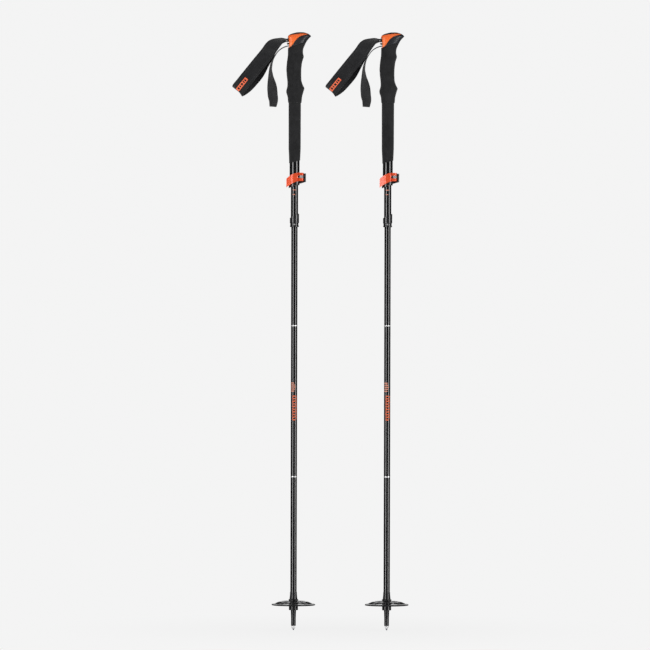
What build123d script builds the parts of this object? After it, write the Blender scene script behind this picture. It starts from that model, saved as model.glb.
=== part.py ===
from build123d import *
from math import copysign, cos, pi, radians, sin
import os

os.makedirs("parts", exist_ok=True)

# A pair of folding trekking poles, standing side by side with their tips down.
# Millimetres. Z runs up the shafts, X from the left pole to the right one.
# The origin is on the left pole's axis, at the middle of the palm grip.

# ---- driving dimensions ----
pole_spacing = 205.0
upper_od = 22.0             # shaft that carries the grip
upper_wall = 1.0
middle_od = 16.0            # telescoping shaft
middle_wall = 0.75
fold_od = 14.0              # the three folding shafts
fold_wall = 0.8
cord_d = 2.2
run_gap = 0.05              # radial clearance of a running fit

# heights of the joints along the shaft
upper_top_z = 46.0
foam_step_z = -72.6         # grip foam above, long foam sleeve below
foam_end_z = -202.4
clamp_z = -235.3            # middle of the clamp's screw and lever
upper_end_z = -252.0
middle_top_z = -55.0
middle_end_z = -331.0
collar_top_z = -320.6
collar_end_z = -345.4
fold_1_top_z = -296.0
joint_1_z = -562.3
joint_2_z = -894.5
sleeve_top_z = -1148.0      # top of the plastic tip
flange_z = -1165.5          # basket's stop
basket_z = -1175.0          # basket's rim
skirt_end_z = -1188.0
tip_end_z = -1222.5
point_z = -1232.0

# ---- plug-in joints and lock ----
spigot_l = 45.0             # length of a ferrule's spigot
half_ring = 1.25            # half the height of its bright ring
tip_mount_r = 5.2           # straight end of the tip, for a rubber protector
button_z = -339.8
button_r = 1.5
pocket_out_y = -9.0         # pocket of the button's spring, in the collar's wall
pocket_in_y = -7.65
leaf_t = 0.12

# ---- grip and head ----
head_back_n = 3.6           # squareness of the head's back, 2 is an ellipse
head_front_n = 2.3
shell_t = 1.6               # thickness of the coloured side panels
split_slope = 0.35          # the head meets the foam on a slanted plane
split_z = 52.75             # height of that plane on the shaft's axis
slot_w = 23.0               # strap slot in the back of the head
slot_top_z = 70.6
slot_low_z = 49.6
slot_back_x = -2.0
wedge_top_z = 59.6
wedge_low_z = 55.2

# height, back, front and half width of the grip, from the foot of the foam up
grip_form = [
    (foam_step_z, -14.7, 14.9, 14.3),
    (-60.0, -15.5, 15.9, 14.8),
    (-53.0, -17.7, 17.6, 16.2),
    (-47.3, -19.4, 19.4, 17.6),
    (-39.6, -17.3, 21.4, 17.2),
    (-34.0, -16.1, 18.0, 15.4),
    (-24.0, -16.4, 14.6, 14.8),
    (-11.0, -18.0, 14.0, 15.0),
    (2.0, -18.8, 14.2, 15.2),
    (16.5, -17.7, 15.8, 15.0),
    (25.0, -16.5, 18.4, 14.8),
    (30.0, -15.8, 19.8, 14.8),
    (35.5, -15.4, 18.2, 14.6),
    (41.0, -15.4, 17.6, 14.6),
    (48.4, -15.2, 19.0, 14.9),
    (56.0, -15.0, 22.4, 15.5),
    (64.0, -15.3, 26.6, 16.2),
    (70.0, -15.8, 31.4, 16.2),
    (74.0, -15.2, 35.4, 15.4),
    (77.0, -12.8, 33.4, 13.8),
    (79.8, -7.0, 29.4, 11.0),
    (82.2, 1.5, 22.6, 6.2),
]

# edge of the coloured side panel, seen from the side
panel_top_edge = [(-22.0, 72.6), (-13.0, 75.9), (-1.8, 77.9), (12.3, 79.9), (22.2, 80.1), (29.3, 78.3)]
panel_low_edge = [(29.3, 78.3), (19.4, 76.1), (12.3, 73.7), (5.3, 68.9), (-0.2, 62.5), (-4.4, 56.1),
                  (-8.8, 51.3), (-14.0, 48.3)]

# ---- clamp ----
collar_r = 12.8             # clamp body round the shaft
ear_gap = 2.4               # slit between the clamp's two ears
ear_front_y = -8.0
ear_back_y = 8.0
ear_end_x = 25.0
pivot_x = 15.0              # lever pivot, upright, in front of the ears
pivot_y = -13.2
cam_r = 4.8
lever_low_z = -244.5
lever_top_z = -226.3
lever_tab_x = -17.9
lever_slot_h = 6.4
arm_t = 2.8
arm_in_r = 13.5
screw_r = 2.0
barrel_r = 2.5

# ---- straps ----
band_t = 3.2
band_w = 30.0
web_t = 1.6
web_w = 22.4

# ---- basket ----
basket_r = 48.0
hub_r = 10.0
stem_r = 7.5
flange_r = 10.6


# ---- helpers ----
def tube(r_out, r_in, low_z, top_z):
    """Upright tube on the shaft's axis, from low_z to top_z."""
    ring = Pos(0, 0, low_z) * extrude(Circle(r_out), top_z - low_z)
    if r_in <= 0:
        return ring
    return ring - Pos(0, 0, low_z - 1) * extrude(Circle(r_in), top_z - low_z + 2)


def turned(profile):
    """Solid of revolution about the shaft's axis from (radius, height) corners."""
    return revolve(Plane.XZ * make_face(Polyline(*profile, close=True)), Axis.Z)


def side_prism(edges, half_y):
    """Prism whose outline lies in the XZ plane, centred on Y = 0."""
    return extrude(Plane.XZ * make_face(edges), half_y, both=True)


def block(low, high):
    """Box between two corners."""
    size = [high[i] - low[i] for i in range(3)]
    centre = [(high[i] + low[i]) / 2 for i in range(3)]
    return Pos(*centre) * Box(*size)


def head_section(height, back, front, half_w, inset):
    """One horizontal section of the head, rounder at the front than at the back."""
    centre = (back + front) / 2
    reach = (front - back) / 2 - inset
    half = half_w - inset
    points = []
    for step in range(16):
        turn = 2 * pi * step / 16
        squareness = head_front_n if cos(turn) > 0 else head_back_n
        x = centre + reach * copysign(abs(cos(turn)) ** (2 / squareness), cos(turn))
        y = half * copysign(abs(sin(turn)) ** (2 / squareness), sin(turn))
        points.append((x, y, height))
    return make_face(Spline(*points, periodic=True))


def head_solid(inset, low, top):
    rows = [row for row in grip_form if low < row[0] < top]
    return loft([head_section(z, back, front, half, inset) for z, back, front, half in rows], ruled=True)


def grip_at(z):
    """Back, front and half width of the grip at one height, between the rows of its form."""
    for low, high in zip(grip_form, grip_form[1:]):
        if z <= high[0]:
            share = (z - low[0]) / (high[0] - low[0])
            return [low[i] + (high[i] - low[i]) * share for i in (1, 2, 3)]
    return list(grip_form[-1][1:])


def foam_solid(top, pitch):
    """Oval sections at an even pitch, so that the surface runs smoothly through them."""
    count = round((top - foam_step_z) / pitch)
    ovals = []
    for i in range(count + 1):
        z = foam_step_z + (top - foam_step_z) * i / count
        back, front, half = grip_at(z)
        ovals.append(Pos((back + front) / 2, 0, z) * Ellipse((front - back) / 2, half))
    return loft(ovals)


def band(stations):
    """Flat strap through stations of (x, y, z, twist, width, thickness).

    A twist of 0 lays the width along Y, and 90 turns it into the XZ plane.
    """
    places = [Vector(x, y, z) for x, y, z, twist, wide, thick in stations]
    sections = []
    for i, (x, y, z, twist, wide, thick) in enumerate(stations):
        ahead = places[min(i + 1, len(places) - 1)]
        behind = places[max(i - 1, 0)]
        run = (ahead - behind).normalized()
        across = (Vector(0, 1, 0) - run * run.Y).normalized()
        lift = run.cross(across)
        wide_dir = across * cos(radians(twist)) + lift * sin(radians(twist))
        thin_dir = run.cross(wide_dir).normalized()
        corners = []
        for u, v in ((-1, -1), (1, -1), (1, 1), (-1, 1)):
            corners.append(places[i] + wide_dir * (u * wide / 2) + thin_dir * (v * thick / 2))
        sections.append(make_face(Polyline(*corners, close=True)))
    return loft(sections, ruled=True)


# ---- grip ----
def split_height(x):
    return split_z + split_slope * x


def above_split():
    left, right = -60.0, 80.0
    edges = Polyline(
        (left, split_height(left)), (right, split_height(right)), (right, 140.0), (left, 140.0), close=True
    )
    return side_prism(edges, 40)


def make_grip():
    form = head_solid(0, 40, 90)
    core = head_solid(shell_t, 40, 81)
    outline = [Spline(*panel_top_edge), Spline(*panel_low_edge)]
    outline.append(Polyline(panel_low_edge[-1], (-22.0, 48.3), panel_top_edge[0]))
    panel_zone = side_prism(outline, 30)
    slot = block((-30, -slot_w / 2, slot_low_z), (slot_back_x, slot_w / 2, slot_top_z))
    rib = block((-30, -4, 40), (45, 4, 90))
    head_zone = above_split()
    skin = (form & head_zone) - core
    panels = (skin & panel_zone) - slot - rib
    plug = tube(upper_od / 2 - upper_wall - run_gap, 0, 20.0, 50.0)
    head = (form & head_zone) - panels - slot
    head = head + plug
    socket = tube(upper_od / 2, 0, foam_step_z - 5, upper_top_z)
    foam = foam_solid(66, 4.6) - head_zone - socket - plug
    return head, panels, foam


def make_wedge():
    deep_x, top_x, low_x = -3.0, -18.5, -16.2
    half = slot_w / 2 - 0.4
    taper = 1.6
    edges = Polyline(
        (deep_x, wedge_low_z + taper), (deep_x, wedge_top_z - taper), (top_x, wedge_top_z), (low_x, wedge_low_z),
        close=True,
    )
    wedge = side_prism(edges, half)
    for z in (56.6, 58.1):
        face_x = low_x + (top_x - low_x) * (z - wedge_low_z) / (wedge_top_z - wedge_low_z)
        wedge = wedge - block((face_x - 3, -half - 1, z), (face_x + 0.6, half + 1, z + 0.6))
    return wedge


def make_lower_foam():
    step_r, waist_r, end_r = 13.6, 13.3, 12.2
    low = foam_end_z - 5
    sleeve = turned([
        (upper_od / 2, foam_step_z), (step_r, foam_step_z), (step_r - 0.1, -110.0), (waist_r, -173.0),
        (13.0, -180.0), (12.6, -189.0), (end_r, -198.0), (end_r - 0.1, low), (upper_od / 2, low),
    ])
    slope = 0.27
    cut = Polyline(
        (-30, foam_end_z - 30 * slope), (30, foam_end_z + 30 * slope), (30, low - 20), (-30, low - 20), close=True
    )
    return sleeve - side_prism(cut, 30)


# ---- clamp ----
def clamp_outline():
    """Clamp body seen from the front: its foot slants down to the left."""
    foot_slope = 0.44
    left, right = -15.0, ear_end_x
    foot = -254.6
    return Polyline(
        (left, foot + left * foot_slope), (8.0, foot + 8.0 * foot_slope), (right, lever_low_z - 1.8),
        (right, lever_top_z - 1.4), (8.0, lever_top_z - 1.4), (left, lever_top_z - 14.0), close=True,
    )


def make_clamp_body():
    low, top = -266.0, -222.0
    body = tube(collar_r, 0, low, top)
    ears = block((0, ear_front_y, low), (ear_end_x, ear_back_y, top))
    ears = fillet(ears.edges().filter_by(Axis.Z).sort_by(Axis.X)[-2:], 3.0)
    body = (body + ears) & side_prism(clamp_outline(), 30)
    body = body - tube(upper_od / 2 + run_gap, 0, upper_end_z - 1.6, top + 5)
    body = body - tube(middle_od / 2 + 0.3, 0, low - 5, upper_end_z + 5)
    slit = block((0, -ear_gap / 2, low - 5), (ear_end_x + 5, ear_gap / 2, top + 5))
    hole = Pos(pivot_x, 0, clamp_z) * Rot(90, 0, 0) * Cylinder(screw_r + 0.25, 60)
    return body - slit - hole


def make_clamp_sleeve():
    top = -214.0
    sleeve = tube(upper_od / 2 - upper_wall - run_gap, middle_od / 2 + run_gap, upper_end_z, top)
    lip = tube(upper_od / 2 - 0.2, middle_od / 2 + run_gap, upper_end_z - 1.5, upper_end_z)
    slit = block((0, -0.8, upper_end_z - 5), (20, 0.8, top - 6))
    return sleeve + lip - slit


def arm_face():
    """Plan view of the lever's arm: round the front of the clamp, then out to a finger tab."""
    start, end = radians(-48), radians(-120)
    out_r = arm_in_r + arm_t
    middle = (start + end) / 2
    inner = [(arm_in_r * cos(a), arm_in_r * sin(a)) for a in (start, middle, end)]
    outer = [(out_r * cos(a), out_r * sin(a)) for a in (end, middle, start)]
    reach = 11.6
    step_x, step_y = sin(end) * reach, -cos(end) * reach
    tab_in = (inner[2][0] + step_x, inner[2][1] + step_y)
    tab_out = (outer[0][0] + step_x - 0.2, outer[0][1] + step_y - 0.8)
    edges = [ThreePointArc(*inner), Line(inner[2], tab_in), Line(tab_in, tab_out), Line(tab_out, outer[0])]
    edges.append(ThreePointArc(*outer))
    edges.append(Line(outer[2], inner[0]))
    return make_face(edges)


def make_lever():
    arm = Pos(0, 0, -265) * extrude(arm_face(), 45)
    hub = Pos(pivot_x, pivot_y, -243) * Cylinder(cam_r, 60)
    neck = block((9.2, pivot_y - 4.7, -265), (pivot_x, pivot_y - 0.6, -220))
    top_edge = Spline((lever_tab_x, -239.3), (-11.2, -233.6), (-5.7, -230.3), (3.1, -227.0), (9.7, lever_top_z))
    low_edge = Spline((9.7, lever_low_z), (3.1, -246.4), (-5.7, -250.4), (-10.1, -252.9), (lever_tab_x, -258.7))
    outline = [
        top_edge, Line((9.7, lever_top_z), (24, lever_top_z)), Line((24, lever_top_z), (24, lever_low_z)),
        Line((24, lever_low_z), (9.7, lever_low_z)), low_edge, Line((lever_tab_x, -258.7), (lever_tab_x, -239.3)),
    ]
    lever = (arm + hub + neck) & side_prism(outline, 40)
    half = lever_slot_h / 2
    lever = lever - block((7.4, -30, clamp_z - half), (30, 0, clamp_z + half))
    return lever - Pos(pivot_x, pivot_y, clamp_z) * Cylinder(barrel_r + run_gap, 40)


def make_barrel():
    pin_l = 17.4
    barrel = Pos(pivot_x, pivot_y, clamp_z) * Cylinder(barrel_r, pin_l)
    flat = Pos(pivot_x, pivot_y, clamp_z) * Box(7.8, 5.2, lever_slot_h - 0.8)
    hole = Pos(pivot_x, pivot_y, clamp_z) * Rot(90, 0, 0) * Cylinder(screw_r + run_gap, 12)
    return barrel + flat - hole


def make_screw():
    shank_start, shank_end, head_r, head_t = pivot_y - 2.9, ear_back_y + 0.4, 4.0, 3.4
    length = shank_end - shank_start + 1.0
    shank = Pos(pivot_x, shank_start + length / 2, clamp_z) * Rot(90, 0, 0) * Cylinder(screw_r, length)
    head = Pos(pivot_x, shank_end + head_t / 2, clamp_z) * Rot(90, 0, 0) * Cylinder(head_r, head_t)
    socket = Pos(pivot_x, shank_end + head_t, clamp_z) * Rot(90, 0, 0) * extrude(RegularPolygon(1.5, 6), 2, both=True)
    return shank + head - socket


# ---- telescoping shaft and its lock ----
def make_middle_plug():
    """Guide at the top of the telescoping shaft, which also anchors the cord."""
    bore = middle_od / 2 - middle_wall
    guide_r = upper_od / 2 - upper_wall - run_gap
    plug = turned([
        (cord_d / 2 + 0.1, middle_top_z - 18), (bore - 0.4, middle_top_z - 18), (bore, middle_top_z - 16),
        (bore, middle_top_z), (guide_r - 0.6, middle_top_z), (guide_r, middle_top_z + 0.8),
        (guide_r, middle_top_z + 8), (guide_r - 0.8, middle_top_z + 9), (cord_d / 2 + 0.1, middle_top_z + 9),
    ])
    return plug


def make_collar():
    """Lock housing at the foot of the telescoping shaft, with a pocket for its button."""
    out_r, groove_r, flare_r = 10.15, 9.25, 10.0
    seat_r = middle_od / 2
    bore_r = fold_od / 2 + 0.25
    body = turned([
        (seat_r, -312.0), (out_r, -312.0), (out_r, -336.6), (groove_r, -337.6), (groove_r, -342.0),
        (flare_r, -343.0), (flare_r, -344.6), (flare_r - 0.8, collar_end_z), (bore_r, collar_end_z),
        (bore_r, middle_end_z), (seat_r, middle_end_z),
    ])
    slope = 0.49
    top = Polyline(
        (-20, collar_top_z - 20 * slope), (20, collar_top_z + 20 * slope), (20, -290), (-20, -290), close=True
    )
    body = body - side_prism(top, 20)
    notch = block((8.6, -3.0, -341.6), (12.0, 3.0, -336.0))
    hole = Pos(0, -10, button_z) * Rot(90, 0, 0) * Cylinder(button_r + run_gap, 3.4)
    pocket = block((-1.6, pocket_out_y, button_z - 3.2), (1.6, pocket_in_y, button_z + 3.2))
    return body - notch - hole - pocket


def make_button():
    face_y, foot_y = -10.7, -8.55
    return Pos(0, (face_y + foot_y) / 2, button_z) * Rot(90, 0, 0) * Cylinder(button_r, foot_y - face_y)


def make_button_spring():
    """Bowed leaf under the button, resting on the pocket's floor at both ends."""
    half_l, half_w = 2.9, 1.2
    crown_y, foot_y = -8.5, pocket_in_y - leaf_t - 0.02
    outer = ThreePointArc((foot_y, -half_l), (crown_y, 0), (foot_y, half_l))
    inner = ThreePointArc((foot_y + leaf_t, half_l), (crown_y + leaf_t, 0), (foot_y + leaf_t, -half_l))
    ends = [
        Line((foot_y, half_l), (foot_y + leaf_t, half_l)),
        Line((foot_y + leaf_t, -half_l), (foot_y, -half_l)),
    ]
    leaf = extrude(Plane.YZ * make_face([outer, ends[0], inner, ends[1]]), half_w, both=True)
    return Pos(0, 0, button_z) * leaf


# ---- folding shafts ----
def make_guide_bush():
    guide_r = middle_od / 2 - middle_wall - run_gap
    bore = fold_od / 2 - fold_wall
    hole = cord_d / 2 + 0.4
    return turned([
        (hole, fold_1_top_z - 14), (bore - 0.3, fold_1_top_z - 14), (bore, fold_1_top_z - 12),
        (bore, fold_1_top_z), (guide_r, fold_1_top_z), (guide_r, fold_1_top_z + 6),
        (guide_r - 0.8, fold_1_top_z + 7), (hole, fold_1_top_z + 7),
    ])


def make_ferrule(z):
    """Aluminium joint: glued into the lower shaft, with a spigot that plugs into the upper one."""
    bore = fold_od / 2 - fold_wall
    ring_r = fold_od / 2 + 0.15
    hole = cord_d / 2 + 0.4
    return turned([
        (hole, z - 30), (bore - 0.3, z - 30), (bore, z - 29), (bore, z - half_ring), (ring_r, z - half_ring),
        (ring_r, z + half_ring), (bore - 0.08, z + half_ring), (bore - 0.08, z + spigot_l - 8),
        (bore - 1.2, z + spigot_l), (hole, z + spigot_l),
    ])


def make_cord_lower():
    """Cord through the two lower shafts, knotted under the last ferrule."""
    top, knot_z, knot_r = joint_1_z - 61.0, joint_2_z - 33.0, 3.0
    return tube(cord_d / 2, 0, knot_z, top) + Pos(0, 0, knot_z) * Sphere(knot_r)


# ---- tip ----
def make_tip_body():
    fold_r = fold_od / 2
    tube_end = -1162.0
    body = turned([
        (fold_r, sleeve_top_z), (7.5, sleeve_top_z), (7.7, -1154.0), (8.6, flange_z + 2), (flange_r, flange_z + 1.4),
        (flange_r, flange_z - 1.4), (stem_r, flange_z - 1.8), (stem_r, skirt_end_z + 0.4), (5.9, skirt_end_z + 0.4),
        (tip_mount_r, -1206.0), (tip_mount_r, tip_end_z + 0.5), (tip_mount_r - 0.5, tip_end_z),
        (3.55, tip_end_z), (3.55, -1208.0), (0.0, -1208.0), (0.0, tube_end), (fold_r, tube_end),
    ])
    notch_count = 8
    for i in range(notch_count):
        notch = Rot(0, 0, 360 / notch_count * (i + 0.5)) * Pos(flange_r + 0.9, 0, flange_z) * Cylinder(2.0, 3.6)
        body = body - notch
    return body


def make_basket():
    """Shallow domed snow basket: hub, two rings and a row of openings in each."""
    dome_z = [
        (hub_r, -1168.0), (20.0, -1168.2), (29.0, -1169.0), (36.0, -1171.2), (42.0, -1173.7),
        (basket_r - 0.6, basket_z + 0.2),
    ]
    thick = 2.2
    top = Spline(*dome_z)
    low = Spline(*[(r, z - thick) for r, z in reversed(dome_z)])
    rim = Line(dome_z[-1], (dome_z[-1][0], dome_z[-1][1] - thick))
    web_edges = [top, rim, low, Line((hub_r, dome_z[0][1] - thick), dome_z[0])]
    web = revolve(Plane.XZ * make_face(web_edges), Axis.Z)
    bore = stem_r + 0.1
    hub = turned([
        (bore, flange_z - 2.0), (hub_r - 0.6, flange_z - 2.0), (hub_r + 0.02, flange_z - 2.6),
        (hub_r + 0.02, skirt_end_z + 0.6), (hub_r - 0.6, skirt_end_z), (bore, skirt_end_z),
    ])
    bead = Pos(0, 0, basket_z - 0.9) * Torus(basket_r - 1.5, 1.5)
    solid = web + hub + bead
    openings = 8
    for i in range(openings):
        turn = 360 / openings * i
        solid = solid - Rot(0, 0, turn) * basket_window(13.5, 25.5, 36)
        solid = solid - Rot(0, 0, turn + 180 / openings) * basket_window(30.5, 41.5, 36)
    return solid


def basket_window(r_in, r_out, spread):
    """Opening between two radii and two spokes, with rounded corners."""
    half = radians(spread / 2)
    ends = [(r_in * cos(half), r_in * sin(half)), (r_out * cos(half), r_out * sin(half))]
    edges = [
        ThreePointArc(ends[0], (r_in, 0), (ends[0][0], -ends[0][1])),
        Line((ends[0][0], -ends[0][1]), (ends[1][0], -ends[1][1])),
        ThreePointArc((ends[1][0], -ends[1][1]), (r_out, 0), ends[1]),
        Line(ends[1], ends[0]),
    ]
    window = Pos(0, 0, -1185) * extrude(make_face(edges), 25)
    return fillet(window.edges().filter_by(Axis.Z), 1.8)


def make_point():
    """Steel holder pressed into the tip, with the carbide insert in its end."""
    holder = turned([
        (1.6, -1210.0), (3.5, -1210.0), (3.5, tip_end_z - 0.1), (4.0, tip_end_z - 0.1), (4.0, -1226.5),
        (2.6, -1229.0), (1.6, -1229.0),
    ])
    carbide = turned([
        (0.0, -1218.0), (1.6, -1218.0), (1.6, -1230.6), (1.1, point_z), (0.0, point_z + 0.5),
    ])
    return Compound(children=[holder, carbide])


# ---- straps ----
def make_strap_loop():
    front = [
        (-16.2, 0.0, 67.7, 0, web_w, 3.0),
        (-27.0, -1.6, 66.6, 20, 26.0, 3.0),
        (-39.0, -4.0, 60.4, 42, band_w, band_t),
        (-50.5, -6.6, 51.0, 72, band_w, band_t),
        (-60.8, -8.8, 36.2, 90, band_w, band_t),
        (-79.7, -11.5, 12.9, 90, band_w, band_t),
        (-101.7, -11.5, -14.4, 90, band_w, band_t),
        (-116.0, -9.5, -32.2, 90, band_w, band_t),
        (-123.1, -5.5, -40.8, 90, band_w, band_t),
    ]
    fold = [(-125.2, 0.0, -45.0, 90, band_w, band_t)]
    back = [
        (-119.8, 5.5, -43.6, 90, band_w, band_t),
        (-107.9, 9.5, -35.2, 90, band_w, band_t),
        (-96.1, 11.5, -22.7, 90, band_w, band_t),
        (-82.3, 11.5, -5.5, 90, band_w, band_t),
        (-70.6, 10.4, 17.0, 90, band_w, band_t),
        (-60.4, 8.8, 35.2, 90, band_w, band_t),
        (-51.5, 6.0, 51.0, 72, band_w, band_t),
        (-40.0, 2.6, 59.3, 42, band_w, band_t),
        (-27.5, 0.0, 63.0, 20, 26.0, 3.0),
        (-16.2, 0.0, 63.6, 0, web_w, 3.0),
    ]
    return strap_ring(front + fold + back)


def strap_ring(stations):
    """The wrist loop: its width stays square to the run seen from the side, so the fold stays flat."""
    places = [Vector(x, y, z) for x, y, z, twist, wide, thick in stations]
    sections = []
    last = len(places) - 1
    for i, (x, y, z, twist, wide, thick) in enumerate(stations):
        run = (places[min(i + 1, last)] - places[max(i - 1, 0)]).normalized()
        outward = 1 if i <= last // 2 else -1
        side_run = Vector(run.X, 0, run.Z) * outward
        if side_run.length < 0.5:
            side_run = Vector(-0.63, 0, -0.78)
        side_run = side_run.normalized()
        upper = Vector(side_run.Z, 0, -side_run.X)
        wide_dir = Vector(0, 1, 0) * cos(radians(twist)) + upper * sin(radians(twist))
        wide_dir = (wide_dir - run * run.dot(wide_dir)).normalized()
        thin_dir = run.cross(wide_dir).normalized()
        corners = []
        for u, v in ((-1, -1), (1, -1), (1, 1), (-1, 1)):
            corners.append(places[i] + wide_dir * (u * wide / 2) + thin_dir * (v * thick / 2))
        sections.append(make_face(Polyline(*corners, close=True)))
    return loft(sections, ruled=True)


def make_strap_tail():
    stations = [
        (-16.2, 0.0, 52.6, 0, web_w, web_t),
        (-27.0, 0.0, 48.6, 4, web_w, web_t),
        (-36.7, 0.0, 41.0, 5, web_w, web_t),
        (-43.4, 0.0, 31.0, 4, web_w, web_t),
        (-48.1, 0.0, 22.5, 3, web_w, web_t),
        (-51.4, 0.0, 13.0, 9, web_w, web_t),
        (-53.3, 0.0, 1.8, 14, web_w, web_t),
        (-53.2, 0.0, -6.5, 21, web_w, web_t),
        (-52.7, 0.0, -15.0, 30, web_w, web_t),
        (-51.7, 0.0, -23.5, 44, web_w, web_t),
        (-50.6, 0.0, -31.9, 60, web_w, web_t),
        (-49.9, 0.0, -38.5, 73, web_w, web_t),
        (-49.4, 0.0, -45.0, 85, web_w, web_t),
        (-48.9, 0.0, -50.5, 91, web_w, web_t),
        (-48.5, 0.0, -56.0, 96, web_w, web_t),
        (-47.5, 0.0, -61.5, 106, web_w, web_t),
        (-46.8, 0.0, -67.0, 118, web_w, web_t),
        (-47.2, 0.0, -74.0, 128, web_w, web_t),
        (-48.0, 0.0, -81.0, 138, web_w, web_t),
    ]
    return band(stations)


# ---- build and write every piece, for both poles ----
def make_pole():
    head, panels, foam = make_grip()
    bore = fold_od / 2 - fold_wall
    return {
        "grip_head": head,
        "head_panels": panels,
        "strap_wedge": make_wedge(),
        "strap_loop": make_strap_loop(),
        "strap_tail": make_strap_tail(),
        "grip_foam": foam,
        "lower_foam": make_lower_foam(),
        "upper_tube": tube(upper_od / 2, upper_od / 2 - upper_wall, upper_end_z, upper_top_z),
        "clamp_body": make_clamp_body(),
        "clamp_sleeve": make_clamp_sleeve(),
        "clamp_lever": make_lever(),
        "clamp_barrel": make_barrel(),
        "clamp_screw": make_screw(),
        "middle_tube": tube(middle_od / 2, middle_od / 2 - middle_wall, middle_end_z, middle_top_z),
        "middle_plug": make_middle_plug(),
        "lock_collar": make_collar(),
        "release_button": make_button(),
        "button_spring": make_button_spring(),
        "cord_slack": tube(cord_d / 2, 0, fold_1_top_z + 7.5, middle_top_z + 6),
        "cord_upper": tube(cord_d / 2, 0, joint_1_z - 60.5, fold_1_top_z + 7.0),
        "cord_lower": make_cord_lower(),
        "fold_tube_1": tube(fold_od / 2, bore, joint_1_z + half_ring, fold_1_top_z),
        "guide_bush": make_guide_bush(),
        "ferrule_1": make_ferrule(joint_1_z),
        "fold_tube_2": tube(fold_od / 2, bore, joint_2_z + half_ring, joint_1_z - half_ring),
        "ferrule_2": make_ferrule(joint_2_z),
        "fold_tube_3": tube(fold_od / 2, bore, -1162.0, joint_2_z - half_ring),
        "tip_body": make_tip_body(),
        "basket": make_basket(),
        "tip_point": make_point(),
    }


pole = make_pole()
for side, shift in (("left", 0.0), ("right", pole_spacing)):
    for name, piece in pole.items():
        export_step(Pos(shift, 0, 0) * piece, f"parts/{side}_{name}.step")
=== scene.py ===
import math

import bmesh
import bpy
from mathutils import Matrix, Vector, noise


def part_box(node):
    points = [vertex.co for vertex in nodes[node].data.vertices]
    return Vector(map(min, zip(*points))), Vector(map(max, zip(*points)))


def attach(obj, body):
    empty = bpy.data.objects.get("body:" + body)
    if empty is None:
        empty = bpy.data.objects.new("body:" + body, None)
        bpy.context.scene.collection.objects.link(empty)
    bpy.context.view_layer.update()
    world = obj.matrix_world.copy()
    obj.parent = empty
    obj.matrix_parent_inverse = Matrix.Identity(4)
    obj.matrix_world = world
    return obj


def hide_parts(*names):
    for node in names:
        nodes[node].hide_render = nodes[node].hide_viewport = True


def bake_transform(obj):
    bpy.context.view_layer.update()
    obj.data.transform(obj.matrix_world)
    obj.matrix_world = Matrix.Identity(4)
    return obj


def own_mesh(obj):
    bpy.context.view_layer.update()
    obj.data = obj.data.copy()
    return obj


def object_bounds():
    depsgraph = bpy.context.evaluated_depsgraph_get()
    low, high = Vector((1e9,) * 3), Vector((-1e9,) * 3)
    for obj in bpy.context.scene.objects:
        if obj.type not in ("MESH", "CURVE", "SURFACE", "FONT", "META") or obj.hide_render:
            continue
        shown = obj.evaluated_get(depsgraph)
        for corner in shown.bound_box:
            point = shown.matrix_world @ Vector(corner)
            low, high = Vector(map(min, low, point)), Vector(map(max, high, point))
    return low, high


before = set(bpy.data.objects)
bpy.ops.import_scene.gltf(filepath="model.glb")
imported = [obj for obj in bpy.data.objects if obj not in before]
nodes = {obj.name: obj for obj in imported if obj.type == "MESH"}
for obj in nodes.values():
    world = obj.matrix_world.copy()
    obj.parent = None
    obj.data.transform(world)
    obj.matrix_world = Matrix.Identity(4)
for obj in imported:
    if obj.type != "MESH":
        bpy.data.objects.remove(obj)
cadLow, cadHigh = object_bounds()
scene = bpy.context.scene
mm = 0.001
sides = ["left", "right"]

poleX = {}  # the two shafts' axes
for side in sides:
    tubeLow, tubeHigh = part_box(side + "_upper_tube")
    poleX[side] = (tubeLow.x + tubeHigh.x) / 2
middleX = (poleX["left"] + poleX["right"]) / 2
print("frame loaded, poles at", [round(x, 4) for x in poleX.values()])


# Camera, backdrop and lights
shot = {
    "distance": 11.0,       # metres in front of the poles
    "fieldWidth": 1.43,     # what the frame takes in at the poles
    "leftOfMiddle": 0.0347,
    "belowTop": 0.643,
    "roll": 0.15,           # degrees
    "sensor": 36.0,
}


def setCamera():
    data = bpy.data.cameras.new("studioCamera")
    data.sensor_width = shot["sensor"]
    data.lens = shot["sensor"] * shot["distance"] / shot["fieldWidth"]
    data.clip_end = 60
    camera = bpy.data.objects.new("studioCamera", data)
    scene.collection.objects.link(camera)
    place = Vector((middleX - shot["leftOfMiddle"], -shot["distance"], cadHigh.z - shot["belowTop"]))
    level = Matrix.Rotation(math.radians(90), 4, "X") @ Matrix.Rotation(math.radians(shot["roll"]), 4, "Z")
    camera.matrix_world = Matrix.Translation(place) @ level
    scene.camera = camera


backdrop = {
    "pale": (0.904, 0.904, 0.904, 1),
    "fill": 0.36,           # what the room gives matt surfaces
    "mirror": 0.03,         # what gloss sees between the lamps
    "floorSize": 30.0,
    "shadowReach": 0.7,     # the floor shows shadow only this near the poles
    "shadowShare": 0.08,
}


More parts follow.
